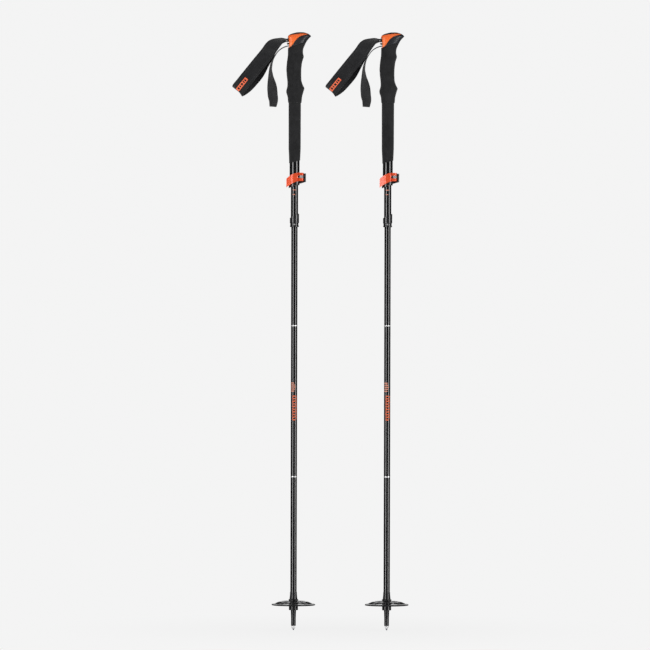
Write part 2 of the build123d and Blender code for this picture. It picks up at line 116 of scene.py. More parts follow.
def setWorld():
    world = bpy.data.worlds.new("studio")
    scene.world = world
    world.use_nodes = True
    tree = world.node_tree
    tree.nodes.clear()
    path = tree.nodes.new("ShaderNodeLightPath")
    shades = {}
    for name in ("pale", "fill", "mirror"):
        shade = tree.nodes.new("ShaderNodeBackground")
        level = backdrop[name]
        shade.inputs["Color"].default_value = level if name == "pale" else (level, level, level, 1)
        shades[name] = shade.outputs[0]
    glossMix = tree.nodes.new("ShaderNodeMixShader")
    tree.links.new(path.outputs["Is Glossy Ray"], glossMix.inputs[0])
    tree.links.new(shades["fill"], glossMix.inputs[1])
    tree.links.new(shades["mirror"], glossMix.inputs[2])
    viewMix = tree.nodes.new("ShaderNodeMixShader")
    tree.links.new(path.outputs["Is Camera Ray"], viewMix.inputs[0])
    tree.links.new(glossMix.outputs[0], viewMix.inputs[1])
    tree.links.new(shades["pale"], viewMix.inputs[2])
    out = tree.nodes.new("ShaderNodeOutputWorld")
    tree.links.new(viewMix.outputs[0], out.inputs["Surface"])


def setFloor():
    # A pale floor at the points, which fades into the backdrop's own shade away from the poles
    half = backdrop["floorSize"] / 2
    mesh = bpy.data.meshes.new("studioFloor")
    corners = [(-half, -half), (half, -half), (half, half), (-half, half)]
    mesh.from_pydata([(middleX + x, y, cadLow.z - 0.3 * mm) for x, y in corners], [], [(0, 1, 2, 3)])
    floor = bpy.data.objects.new("studioFloor", mesh)
    scene.collection.objects.link(floor)
    floor.visible_glossy = False
    material = bpy.data.materials.new("paleFloor")
    material.use_nodes = True
    tree = material.node_tree
    tree.nodes.clear()
    glow = tree.nodes.new("ShaderNodeEmission")
    glow.inputs["Color"].default_value = backdrop["pale"]
    matt = tree.nodes.new("ShaderNodeBsdfDiffuse")
    matt.inputs["Color"].default_value = (0.9, 0.9, 0.9, 1)
    place = tree.nodes.new("ShaderNodeTexCoord")
    reach = tree.nodes.new("ShaderNodeVectorMath")
    reach.operation = "DISTANCE"
    reach.inputs[1].default_value = (middleX, 0, cadLow.z)
    tree.links.new(place.outputs["Object"], reach.inputs[0])
    fade = tree.nodes.new("ShaderNodeMapRange")
    fade.interpolation_type = "SMOOTHSTEP"
    fade.inputs["From Max"].default_value = backdrop["shadowReach"]
    fade.inputs["To Min"].default_value = 1 - backdrop["shadowShare"]
    fade.inputs["To Max"].default_value = 1
    tree.links.new(reach.outputs["Value"], fade.inputs["Value"])
    mix = tree.nodes.new("ShaderNodeMixShader")
    tree.links.new(fade.outputs["Result"], mix.inputs[0])
    tree.links.new(matt.outputs[0], mix.inputs[1])
    tree.links.new(glow.outputs[0], mix.inputs[2])
    out = tree.nodes.new("ShaderNodeOutputMaterial")
    tree.links.new(mix.outputs[0], out.inputs["Surface"])
    mesh.materials.append(material)


# Soft boxes stand round the poles: degrees from the camera's side, distance, width, height, power, and
# whether matt surfaces and gloss see them. The gloss ones draw the two bright lines down each shaft.
softBoxes = [
    ("boxLeft", -44, 2.6, 0.42, 2.6, 24, True, False),
    ("boxRight", 56, 2.6, 0.42, 2.6, 24, True, False),
    ("boxBack", 180, 3.2, 1.4, 2.4, 10, True, True),
    ("glossLeft", -42, 2.6, 0.80, 2.8, 34, False, True),
    ("glossRight", 53, 2.6, 0.80, 2.8, 36, False, True),
]
softBoxLift = 0.12  # share of the distance
topBox = {"width": 1.6, "height": 1.0, "power": 4, "forward": 0.9, "above": 1.8}


def addSoftBox(name, width, height, power, place, aim):
    data = bpy.data.lights.new(name, "AREA")
    data.shape = "RECTANGLE"
    data.size = width
    data.size_y = height
    data.energy = power
    lamp = bpy.data.objects.new(name, data)
    scene.collection.objects.link(lamp)
    lamp.location = place
    lamp.rotation_euler = (aim - place).to_track_quat("-Z", "Y").to_euler()
    lamp.visible_camera = False
    return lamp


def setLights():
    aim = Vector((middleX, 0, (cadLow.z + cadHigh.z) / 2))
    for name, turn, away, width, height, power, onMatt, onGloss in softBoxes:
        angle = math.radians(turn)
        place = aim + Vector((math.sin(angle), -math.cos(angle), softBoxLift)) * away
        lamp = addSoftBox(name, width, height, power, place, aim)
        lamp.visible_diffuse = onMatt
        lamp.visible_glossy = onGloss
    place = Vector((middleX, -topBox["forward"], cadHigh.z + topBox["above"]))
    addSoftBox("boxTop", topBox["width"], topBox["height"], topBox["power"], place, aim)


scene.view_settings.view_transform = "Standard"
setCamera()
setWorld()
setFloor()
setLights()
print("camera, floor and lights set")


# Effects that several finishes share
def addNode(tree, kind, inputs=None, **settings):
    node = tree.nodes.new(kind)
    for key, value in settings.items():
        setattr(node, key, value)
    for key, value in (inputs or {}).items():
        if isinstance(value, bpy.types.NodeSocket):
            tree.links.new(value, node.inputs[key])
        else:
            node.inputs[key].default_value = value
    return node


def addNoise(tree, place, scale, detail):
    inputs = {"Vector": place, "Scale": scale, "Detail": detail}
    return addNode(tree, "ShaderNodeTexNoise", inputs).outputs["Fac"]


def doMath(tree, operation, first, second=0.0):
    return addNode(tree, "ShaderNodeMath", {0: first, 1: second}, operation=operation).outputs[0]


def newGroup(name, inputs, outputs):
    group = bpy.data.node_groups.new(name, "ShaderNodeTree")
    for socketName, value in inputs.items():
        socket = group.interface.new_socket(socketName, in_out="INPUT", socket_type="NodeSocketFloat")
        socket.default_value = value
    for socketName in outputs:
        group.interface.new_socket(socketName, in_out="OUTPUT", socket_type="NodeSocketFloat")
    start = group.nodes.new("NodeGroupInput")
    end = group.nodes.new("NodeGroupOutput")
    return group, start, end


def buildGrain():
    # Moulded or foamed grain: small cells with finer noise over them. Size is in metres.
    group, start, end = newGroup("fineGrain", {"Size": 0.0005, "Cells": 0.5}, ["Height", "Tone"])
    place = addNode(group, "ShaderNodeTexCoord").outputs["Object"]
    scale = doMath(group, "DIVIDE", 1.0, start.outputs["Size"])
    cells = addNode(group, "ShaderNodeTexVoronoi", {"Vector": place, "Scale": scale}).outputs["Distance"]
    fine = addNoise(group, place, scale, 3.0)
    height = addNode(
        group, "ShaderNodeMix", {"Factor": start.outputs["Cells"], "A": fine, "B": cells}, data_type="FLOAT"
    ).outputs["Result"]
    broadScale = doMath(group, "MULTIPLY", scale, 0.045)
    broad = addNoise(group, place, broadScale, 4.0)
    tone = doMath(group, "MULTIPLY", doMath(group, "ADD", broad, fine), 0.5)
    group.links.new(height, end.inputs["Height"])
    group.links.new(tone, end.inputs["Tone"])
    return group


def buildWear():
    # Rubbed edges: where a rounded-over normal parts from the true one, broken up by noise
    group, start, end = newGroup("edgeWear", {"Reach": 0.0004, "Patchiness": 0.5}, ["Mask"])
    reach = start.outputs["Reach"]
    rounded = addNode(group, "ShaderNodeBevel", {"Radius": reach}, samples=4).outputs["Normal"]
    plain = addNode(group, "ShaderNodeNewGeometry").outputs["Normal"]
    match = addNode(group, "ShaderNodeVectorMath", {0: rounded, 1: plain}, operation="DOT_PRODUCT")
    mask = addNode(
        group, "ShaderNodeMapRange", {"Value": match.outputs["Value"], "From Min": 0.97, "From Max": 0.8}
    ).outputs["Result"]
    place = addNode(group, "ShaderNodeTexCoord").outputs["Object"]
    patches = addNoise(group, place, 260.0, 4.0)
    high = doMath(group, "ADD", start.outputs["Patchiness"], 0.12)
    kept = addNode(
        group, "ShaderNodeMapRange",
        {"Value": patches, "From Min": start.outputs["Patchiness"], "From Max": high},
    ).outputs["Result"]
    group.links.new(doMath(group, "MULTIPLY", mask, kept), end.inputs["Mask"])
    return group


def buildHandling():
    # Faint smudges and dust from use, as a mask
    group, start, end = newGroup("handling", {"Size": 0.02, "Amount": 1.0}, ["Mask"])
    place = addNode(group, "ShaderNodeTexCoord").outputs["Object"]
    scale = doMath(group, "DIVIDE", 1.0, start.outputs["Size"])
    cloud = addNode(
        group, "ShaderNodeTexNoise", {"Vector": place, "Scale": scale, "Detail": 6.0, "Roughness": 0.65}
    ).outputs["Fac"]
    mask = addNode(
        group, "ShaderNodeMapRange", {"Value": cloud, "From Min": 0.42, "From Max": 0.7}
    ).outputs["Result"]
    group.links.new(doMath(group, "MULTIPLY", mask, start.outputs["Amount"]), end.inputs["Mask"])
    return group


def buildTurning():
    # Fine turned or drawn lines. Along 1 lays them along the shaft, and 0 runs them round it.
    group, start, end = newGroup("turnedLines", {"Pitch": 0.0003, "Along": 0.0}, ["Height", "Tone"])
    place = addNode(group, "ShaderNodeTexCoord").outputs["Object"]
    parts = addNode(group, "ShaderNodeSeparateXYZ", {"Vector": place})
    scale = doMath(group, "DIVIDE", 1.0, start.outputs["Pitch"])
    across = doMath(group, "SUBTRACT", 1.0, start.outputs["Along"])
    flat = addNode(
        group, "ShaderNodeCombineXYZ",
        {
            "X": doMath(group, "MULTIPLY", parts.outputs["X"], start.outputs["Along"]),
            "Y": doMath(group, "MULTIPLY", parts.outputs["Y"], start.outputs["Along"]),
            "Z": doMath(group, "MULTIPLY", parts.outputs["Z"], across),
        },
    ).outputs[0]
    lines = addNoise(group, flat, scale, 2.0)
    group.links.new(lines, end.inputs["Height"])
    group.links.new(lines, end.inputs["Tone"])
    return group


def buildWeave():
    # Woven or knitted cloth in the band's own measure: x runs along it and y across, in metres
    inputs = {"Along": 0.0012, "Across": 0.001, "Slant": 0.0}
    group, start, end = newGroup("weave", inputs, ["Height", "Tone"])
    place = addNode(group, "ShaderNodeAttribute", attribute_name="bandPlace").outputs["Vector"]
    parts = addNode(group, "ShaderNodeSeparateXYZ", {"Vector": place})
    fullTurn = 2 * math.pi
    picks = doMath(group, "DIVIDE", parts.outputs["X"], start.outputs["Along"])
    ends = doMath(group, "DIVIDE", parts.outputs["Y"], start.outputs["Across"])
    slanted = doMath(group, "ADD", picks, doMath(group, "MULTIPLY", ends, start.outputs["Slant"]))
    over = doMath(group, "SINE", doMath(group, "MULTIPLY", slanted, fullTurn))
    under = doMath(group, "SINE", doMath(group, "MULTIPLY", ends, fullTurn))
    crossing = doMath(group, "MULTIPLY", over, under)
    fuzz = addNoise(group, place, 900.0, 4.0)
    height = doMath(group, "ADD", doMath(group, "MULTIPLY", crossing, 0.5), fuzz)
    shade = addNoise(group, place, 55.0, 5.0)
    tone = doMath(group, "ADD", doMath(group, "MULTIPLY", crossing, 0.28), shade)
    group.links.new(height, end.inputs["Height"])
    group.links.new(tone, end.inputs["Tone"])
    return group


effects = {
    "grain": buildGrain(),
    "wear": buildWear(),
    "handling": buildHandling(),
    "turning": buildTurning(),
    "weave": buildWeave(),
}


def placeEffect(tree, name, **values):
    node = tree.nodes.new("ShaderNodeGroup")
    node.node_tree = effects[name]
    for key, value in values.items():
        node.inputs[key].default_value = value
    return node


def newFinish(name, **sockets):
    # A Principled finish. Steady values are set on its own sockets.
    material = bpy.data.materials.new(name)
    material.use_nodes = True
    shader = material.node_tree.nodes["Principled BSDF"]
    for key, value in sockets.items():
        shader.inputs[key.replace("_", " ")].default_value = value
    return material, material.node_tree, shader


def mixColour(tree, factor, first, second):
    node = tree.nodes.new("ShaderNodeMix")
    node.data_type = "RGBA"
    for socket, value in zip((node.inputs[0], node.inputs[6], node.inputs[7]), (factor, first, second)):
        if isinstance(value, bpy.types.NodeSocket):
            tree.links.new(value, socket)
        else:
            socket.default_value = value
    return node.outputs[2]


def mapRange(tree, value, low, high, toLow, toHigh):
    return addNode(
        tree, "ShaderNodeMapRange",
        {"Value": value, "From Min": low, "From Max": high, "To Min": toLow, "To Max": toHigh},
    ).outputs["Result"]


def addBump(tree, shader, height, depth, strength=1.0):
    bump = addNode(tree, "ShaderNodeBump", {"Height": height, "Distance": depth, "Strength": strength})
    tree.links.new(bump.outputs["Normal"], shader.inputs["Normal"])
    return bump


# The finishes themselves
def mouldedPlastic(name, colour, worn, roughness, grainSize, grainDepth, gloss=0.0):
    material, tree, shader = newFinish(name, Specular_IOR_Level=0.5, Coat_Weight=gloss, Coat_Roughness=0.14)
    grain = placeEffect(tree, "grain", Size=grainSize, Cells=0.35)
    wear = placeEffect(tree, "wear")
    smudge = placeEffect(tree, "handling", Size=0.015)
    lighter = tuple(min(1, c * 1.35) for c in colour[:3]) + (1,)
    darker = tuple(c * 0.8 for c in colour[:3]) + (1,)
    body = mixColour(tree, mapRange(tree, grain.outputs["Tone"], 0.38, 0.62, 0, 1), darker, lighter)
    edge = doMath(tree, "MULTIPLY", wear.outputs["Mask"], 0.55)
    tree.links.new(mixColour(tree, edge, body, worn), shader.inputs["Base Color"])
    dull = mapRange(tree, smudge.outputs["Mask"], 0, 1, roughness - 0.05, roughness + 0.12)
    tree.links.new(dull, shader.inputs["Roughness"])
    addBump(tree, shader, grain.outputs["Height"], grainDepth)
    return material


def orangePanel():
    look = {
        "deep": (0.93, 0.105, 0.018, 1),
        "bright": (1.0, 0.235, 0.035, 1),
        "rubbed": (1.0, 0.5, 0.3, 1),
        "roughness": 0.34,
        "paintedLightLow": 48 * mm,
        "paintedLightHigh": 80 * mm,
    }
    material, tree, shader = newFinish("orangePanel", Specular_IOR_Level=0.5)
    place = addNode(tree, "ShaderNodeTexCoord").outputs["Object"]
    parts = addNode(tree, "ShaderNodeSeparateXYZ", {"Vector": place})
    cloud = addNoise(tree, place, 38.0, 2.0)
    # Painted light and shade: the orange is painted lighter and yellower low on the panels and deeper
    # towards the crown, standing in for how the light falls on them. The cloud noise over it is the
    # plastic's own uneven tone.
    fade = mapRange(tree, parts.outputs["Z"], look["paintedLightLow"], look["paintedLightHigh"], 0.75, 0.1)
    share = doMath(tree, "MULTIPLY", doMath(tree, "ADD", fade, cloud), 0.62)
    body = mixColour(tree, share, look["deep"], look["bright"])
    wear = placeEffect(tree, "wear")
    edge = doMath(tree, "MULTIPLY", wear.outputs["Mask"], 0.35)
    tree.links.new(mixColour(tree, edge, body, look["rubbed"]), shader.inputs["Base Color"])
    smudge = placeEffect(tree, "handling", Size=0.012)
    dull = mapRange(tree, smudge.outputs["Mask"], 0, 1, look["roughness"] - 0.06, look["roughness"] + 0.12)
    tree.links.new(dull, shader.inputs["Roughness"])
    grain = placeEffect(tree, "grain", Size=0.0006, Cells=0.2)
    addBump(tree, shader, grain.outputs["Height"], 0.00002)
    return material


def gripFoamFinish():
    look = {
        "dark": (0.008, 0.008, 0.0085, 1),
        "light": (0.017, 0.017, 0.018, 1),
        "worn": (0.036, 0.036, 0.038, 1),
    }
    material, tree, shader = newFinish("gripFoam", Roughness=0.88, Specular_IOR_Level=0.25)
    shader.inputs["Sheen Weight"].default_value = 0.12
    shader.inputs["Sheen Roughness"].default_value = 0.5
    grain = placeEffect(tree, "grain", Size=0.00055, Cells=0.65)
    tone = mapRange(tree, grain.outputs["Tone"], 0.36, 0.64, 0, 1)
    body = mixColour(tree, tone, look["dark"], look["light"])
    smudge = placeEffect(tree, "handling", Size=0.018, Amount=0.3)
    tree.links.new(mixColour(tree, smudge.outputs["Mask"], body, look["worn"]), shader.inputs["Base Color"])
    addBump(tree, shader, grain.outputs["Height"], 0.00014)
    return material


def clothFinish(name, dark, light, along, across, slant, depth, roughness=0.85):
    material, tree, shader = newFinish(name, Roughness=roughness, Specular_IOR_Level=0.3)
    shader.inputs["Sheen Weight"].default_value = 0.25
    shader.inputs["Sheen Roughness"].default_value = 0.45
    weave = placeEffect(tree, "weave", Along=along, Across=across, Slant=slant)
    tone = mapRange(tree, weave.outputs["Tone"], 0.2, 0.8, 0, 1)
    tree.links.new(mixColour(tree, tone, dark, light), shader.inputs["Base Color"])
    addBump(tree, shader, weave.outputs["Height"], depth)
    return material


def shaftFinish():
    look = {
        "black": (0.0025, 0.0025, 0.003, 1),
        "scuffed": (0.010, 0.010, 0.011, 1),
        "roughness": 0.17,
    }
    material, tree, shader = newFinish("shaftBlack", Specular_IOR_Level=0.8)
    shader.inputs["Coat Roughness"].default_value = 0.08
    shader.inputs["Coat Weight"].default_value = 0.6
    lines = placeEffect(tree, "turning", Pitch=0.0011, Along=1.0)
    smudge = placeEffect(tree, "handling", Size=0.03, Amount=0.35)
    tree.links.new(
        mixColour(tree, smudge.outputs["Mask"], look["black"], look["scuffed"]), shader.inputs["Base Color"]
    )
    dull = doMath(
        tree, "ADD",
        mapRange(tree, smudge.outputs["Mask"], 0, 1, look["roughness"], look["roughness"] + 0.08),
        mapRange(tree, lines.outputs["Tone"], 0.3, 0.7, -0.01, 0.02),
    )
    tree.links.new(dull, shader.inputs["Roughness"])
    addBump(tree, shader, lines.outputs["Height"], 0.0000012)
    return material


def leverFinish():
    look = {
        "deep": (0.74, 0.070, 0.022, 1),
        "bright": (0.86, 0.11, 0.030, 1),
        "bare": (0.90, 0.38, 0.26, 1),
        "roughness": 0.30,
    }
    material, tree, shader = newFinish(
        "leverOrange", Metallic=0.15, Specular_IOR_Level=0.3, Coat_Weight=0.7, Coat_Roughness=0.06
    )
    grain = placeEffect(tree, "grain", Size=0.0004, Cells=0.1)
    wear = placeEffect(tree, "wear")
    tone = mapRange(tree, grain.outputs["Tone"], 0.35, 0.65, 0, 1)
    body = mixColour(tree, tone, look["deep"], look["bright"])
    edge = doMath(tree, "MULTIPLY", wear.outputs["Mask"], 0.4)
    tree.links.new(mixColour(tree, edge, body, look["bare"]), shader.inputs["Base Color"])
    smudge = placeEffect(tree, "handling", Size=0.01)
    dull = mapRange(tree, smudge.outputs["Mask"], 0, 1, look["roughness"] - 0.05, look["roughness"] + 0.12)
    tree.links.new(dull, shader.inputs["Roughness"])
    addBump(tree, shader, grain.outputs["Height"], 0.000005)
    return material


def brightMetal(name, colour, roughness, pitch, along):
    material, tree, shader = newFinish(name, Metallic=0.55)
    lines = placeEffect(tree, "turning", Pitch=pitch, Along=along)
    stain = placeEffect(tree, "handling", Size=0.006, Amount=0.4)
    darker = tuple(c * 0.86 for c in colour[:3]) + (1,)
    body = mixColour(tree, mapRange(tree, lines.outputs["Tone"], 0.3, 0.7, 0, 1), darker, colour)
    dulled = tuple(c * 0.7 for c in colour[:3]) + (1,)
    tree.links.new(mixColour(tree, stain.outputs["Mask"], body, dulled), shader.inputs["Base Color"])
    dull = mapRange(tree, stain.outputs["Mask"], 0, 1, roughness, roughness + 0.2)
    tree.links.new(dull, shader.inputs["Roughness"])
    addBump(tree, shader, lines.outputs["Height"], 0.00001)
    return material


def pointFinish():
    # The steel holder above and the darker carbide below share a node, so height tells them apart
    carbideTop = cadLow.z + 3.6 * mm
    material, tree, shader = newFinish("pointSteel", Metallic=0.2)
    place = addNode(tree, "ShaderNodeTexCoord").outputs["Object"]
    parts = addNode(tree, "ShaderNodeSeparateXYZ", {"Vector": place})
    carbide = doMath(tree, "LESS_THAN", parts.outputs["Z"], carbideTop)
    lines = placeEffect(tree, "turning", Pitch=0.0002, Along=0.0)
    tone = mapRange(tree, lines.outputs["Tone"], 0.3, 0.7, 0, 1)
    steel = mixColour(tree, tone, (0.80, 0.80, 0.81, 1), (0.93, 0.93, 0.93, 1))
    tree.links.new(mixColour(tree, carbide, steel, (0.20, 0.20, 0.22, 1)), shader.inputs["Base Color"])
    tree.links.new(mapRange(tree, carbide, 0, 1, 0.24, 0.42), shader.inputs["Roughness"])
    addBump(tree, shader, lines.outputs["Height"], 0.00001)
    return material


def printFinish(name, colour, thin):
    # Screen print that has rubbed thin in places
    material, tree, shader = newFinish(name, Roughness=0.42)
    place = addNode(tree, "ShaderNodeTexCoord").outputs["Object"]
    rub = addNoise(tree, place, 700.0, 3.0)
    rubbed = mapRange(tree, rub, 0.45, 0.75, 0, 1)
    tree.links.new(mixColour(tree, rubbed, colour, thin), shader.inputs["Base Color"])
    tree.links.new(mapRange(tree, rub, 0.3, 0.7, 0.36, 0.5), shader.inputs["Roughness"])
    return material


finishes = {
    "head": mouldedPlastic(
        "headPlastic", (0.020, 0.021, 0.025, 1), (0.09, 0.09, 0.1, 1), 0.38, 0.0007, 0.00006,
    ),
    "panel": orangePanel(),
    "foam": gripFoamFinish(),
    "knit": clothFinish(
        "strapKnit", (0.006, 0.006, 0.007, 1), (0.022, 0.022, 0.024, 1), 0.0016, 0.0012, 0.5, 0.00022,
    ),
    "binding": clothFinish(
        "strapBinding", (0.006, 0.006, 0.007, 1), (0.016, 0.016, 0.018, 1), 0.0009, 0.0009, 0, 0.0001, 0.7,
    ),
    "webbing": clothFinish(
        "webbing", (0.009, 0.009, 0.010, 1), (0.033, 0.033, 0.035, 1), 0.0013, 0.0016, 1.0, 0.00025,
    ),
    "thread": clothFinish(
        "thread", (0.03, 0.03, 0.032, 1), (0.075, 0.075, 0.08, 1), 0.0004, 0.0003, 1.0, 0.00004, 0.6,
    ),
    "cordBraid": mouldedPlastic(
        "cordBraid", (0.10, 0.10, 0.105, 1), (0.2, 0.2, 0.2, 1), 0.6, 0.0006, 0.00012,
    ),
    "shaft": shaftFinish(),
    "nylon": mouldedPlastic(
        "blackNylon", (0.011, 0.011, 0.012, 1), (0.06, 0.06, 0.065, 1), 0.3, 0.0005, 0.00002, 1.0,
    ),
    "tip": mouldedPlastic(
        "tipNylon", (0.012, 0.012, 0.013, 1), (0.07, 0.07, 0.072, 1), 0.3, 0.0006, 0.00003, 0.4,
    ),
    "lever": leverFinish(),
    "steel": brightMetal("brightSteel", (0.80, 0.80, 0.81, 1), 0.24, 0.00025, 0.0),
    "aluminium": brightMetal("turnedAluminium", (0.95, 0.95, 0.95, 1), 0.28, 0.0003, 0.0),
    "point": pointFinish(),
    "printOrange": printFinish("printOrange", (0.90, 0.16, 0.05, 1), (0.35, 0.06, 0.02, 1)),
    "printPale": printFinish("printPale", (0.88, 0.34, 0.22, 1), (0.42, 0.13, 0.08, 1)),
    "labelOrange": clothFinish(
        "labelOrange", (0.80, 0.10, 0.03, 1), (1.0, 0.22, 0.10, 1), 0.0006, 0.0006, 0, 0.00006, 0.6,
    ),
}

# The finish of each rigid CAD node, and of the spring and cords, shown or replaced
nodeFinishes = {
    "grip_head": "head",
    "head_panels": "panel",
    "strap_wedge": "nylon",
    "upper_tube": "shaft",
    "clamp_body": "nylon",
    "clamp_sleeve": "nylon",
    "clamp_barrel": "steel",
    "clamp_lever": "lever",
    "clamp_screw": "steel",
    "middle_tube": "shaft",
    "middle_plug": "nylon",
    "lock_collar": "nylon",
    "release_button": "steel",
    "button_spring": "steel",
    "cord_slack": "cordBraid",
    "cord_upper": "cordBraid",
    "cord_lower": "cordBraid",
    "fold_tube_1": "shaft",
    "guide_bush": "nylon",
    "ferrule_1": "aluminium",
    "fold_tube_2": "shaft",
    "ferrule_2": "aluminium",
    "fold_tube_3": "shaft",
    "tip_body": "tip",
    "basket": "tip",
    "tip_point": "point",
}
for side in sides:
    for nodeName, finishName in nodeFinishes.items():
        slots = nodes[side + "_" + nodeName].data.materials
        slots.clear()
        slots.append(finishes[finishName])
print("finishes made and laid on the frame's nodes")


# Helpers that make and join meshes
def newPiece(name, points, faces, finish):
    mesh = bpy.data.meshes.new(name)
    mesh.from_pydata(points, [], faces)
    tidy = bmesh.new()
    tidy.from_mesh(mesh)
    bmesh.ops.recalc_face_normals(tidy, faces=tidy.faces)
    tidy.to_mesh(mesh)
    tidy.free()
    mesh.materials.append(finishes[finish])
    mesh.shade_smooth()
    piece = bpy.data.objects.new(name, mesh)
    scene.collection.objects.link(piece)
    return piece


def ringFaces(ringCount, pointCount, first=0):
    # Quads between neighbouring closed rings, with a cap at each end
    faces = []
    for i in range(ringCount - 1):
        for j in range(pointCount):
            a = first + i * pointCount + j
            b = first + i * pointCount + (j + 1) % pointCount
            faces.append((a, b, b + pointCount, a + pointCount))
    faces.append(tuple(first + j for j in range(pointCount)))
    last = first + (ringCount - 1) * pointCount
    faces.append(tuple(last + j for j in range(pointCount)))
    return faces


def setPlaces(piece, places):
    # The band's own measure at each point, which its weave reads
    attribute = piece.data.attributes.new("bandPlace", "FLOAT_VECTOR", "POINT")
    attribute.data.foreach_set("vector", [value for place in places for value in place])


def settle(piece):
    # Applies the piece's modifiers
    evaluated = piece.evaluated_get(bpy.context.evaluated_depsgraph_get())
    finished = bpy.data.meshes.new_from_object(evaluated)
    piece.modifiers.clear()
    piece.data = finished
    return piece


def carve(piece, cutter, operation="DIFFERENCE"):
    # Cuts, joins or crosses one closed piece with another, which is then thrown away
    cut = piece.modifiers.new("cut", "BOOLEAN")
    cut.operation = operation
    cut.solver = "EXACT"
    cut.object = cutter
    settle(piece)
    bpy.data.objects.remove(cutter)
    return piece


def through(a, b, c, d, t):
    # Catmull-Rom between b and c
    bend = (2 * a - 5 * b + 4 * c - d) * t * t
    return 0.5 * (2 * b + (c - a) * t + bend + (3 * b - a - 3 * c + d) * t ** 3)


def smoothRows(rows, steps):
    # Finer rows through the given ones
    fine = []
    last = len(rows) - 1
    for i in range(last):
        picks = [Vector(rows[p]) for p in (max(i - 1, 0), i, i + 1, min(i + 2, last))]
        fine += [through(*picks, k / steps) for k in range(steps)]
    fine.append(Vector(rows[last]))
    return fine


# The head and its coloured panels
# Height, back, front and half width of the head, in millimetres
headRows = [
    (35.5, -15.4, 18.2, 14.6), (41.0, -15.4, 17.6, 14.6),
    (48.4, -15.2, 19.0, 14.9), (56.0, -15.0, 22.4, 15.5),
    (64.0, -15.3, 26.6, 16.2), (70.0, -15.8, 31.4, 16.2),
    (74.0, -15.2, 35.4, 15.4), (77.0, -12.8, 33.4, 13.8),
    (79.8, -7.0, 29.4, 11.0), (82.2, 1.5, 22.6, 6.2), (82.9, 5.0, 19.4, 3.8), (83.2, 9.0, 15.4, 1.4),
]
panelTopEdge = [(-22.0, 72.6), (-13.0, 75.9), (-1.8, 77.9), (12.3, 79.9), (22.2, 80.1), (29.3, 78.3)]
panelLowEdge = [
    (29.3, 78.3), (19.4, 76.1), (12.3, 73.7), (5.3, 68.9),
    (-0.2, 62.5), (-4.4, 56.1), (-8.8, 51.3), (-14.0, 48.3),
]
headShape = {
    "around": 96,
    "stepsPerRow": 6,
    "frontSquareness": 2.3,
    "backSquareness": 3.6,
    "splitHeight": 52.75,
    "splitSlope": 0.35,
    "panelThick": 1.6,
    "ribHalf": 4.0,
    "slot": ((-30.0, -11.5, 49.6), (-2.0, 11.5, 70.6)),
    "plugRadius": 9.95,
    "plug": (20.0, 50.0),
    "voxel": 0.36 * mm,
    "smoothing": 4,
    "crownStart": 74,       # millimetres: the inset lowers the surface from here up
    "crownRise": 9,
    "zoneBack": (-22.0, 48.3),
    "zoneReach": 30,
    "cutterReach": 40,
    "plugSides": 40,
}


def headForm(inset):
    points = []
    around = headShape["around"]
    rows = smoothRows(headRows, headShape["stepsPerRow"])
    for height, back, front, half in rows:
        centre = (back + front) / 2
        reach = max((front - back) / 2 - inset, 0.2)
        wide = max(half - inset, 0.1)
        lowered = inset * max(0, (height - headShape["crownStart"]) / headShape["crownRise"])
        for k in range(around):
            turn = 2 * math.pi * k / around
            squareness = headShape["frontSquareness"] if math.cos(turn) > 0 else headShape["backSquareness"]
            x = centre + reach * math.copysign(abs(math.cos(turn)) ** (2 / squareness), math.cos(turn))
            y = wide * math.copysign(abs(math.sin(turn)) ** (2 / squareness), math.sin(turn))
            points.append(Vector((x, y, height - lowered)) * mm)
    return newPiece("headForm", points, ringFaces(len(rows), around), "head")


def sidePrism(outline, low, high):
    # Closed prism whose outline lies in the XZ plane, from one y to another
    points = [Vector((x, y, z)) * mm for y in (low, high) for x, z in outline]
    return newPiece("sidePrism", points, ringFaces(2, len(outline)), "head")


def panelZone(inset):
    # The two places where the panels lie, one on each side of the head's middle rib
    edge = [tuple(point) for point in smoothRows(panelTopEdge, 8)]
    edge += [tuple(point) for point in smoothRows(panelLowEdge, 8)][1:] + [headShape["zoneBack"]]
    reach = headShape["zoneReach"]
    zone = sidePrism(edge, headShape["ribHalf"], reach)
    mirror = sidePrism(edge, -reach, -headShape["ribHalf"])
    zone = carve(zone, mirror, "UNION")
    return carve(zone, headForm(inset))


def headParts():
    left, right = -60.0, 80.0
    rise = headShape["splitSlope"]
    reach = headShape["cutterReach"]
    foamSide = [
        (left, headShape["splitHeight"] + rise * left), (right, headShape["splitHeight"] + rise * right),
        (right, 0.0), (left, 0.0),
    ]
    low, high = headShape["slot"]
    slotSide = [(low[0], low[2]), (high[0], low[2]), (high[0], high[2]), (low[0], high[2])]
    parts = []
    for isPanel in (False, True):
        part = headForm(0)
        zone = panelZone(headShape["panelThick"])
        carve(part, zone, "INTERSECT" if isPanel else "DIFFERENCE")
        carve(part, sidePrism(foamSide, -reach, reach))
        carve(part, sidePrism(slotSide, low[1], high[1]))
        voxels = part.modifiers.new("voxels", "REMESH")
        voxels.mode = "VOXEL"
        voxels.voxel_size = headShape["voxel"]
        soften = part.modifiers.new("soften", "SMOOTH")
        soften.iterations = headShape["smoothing"]
        settle(part)
        parts.append(part)
    return parts


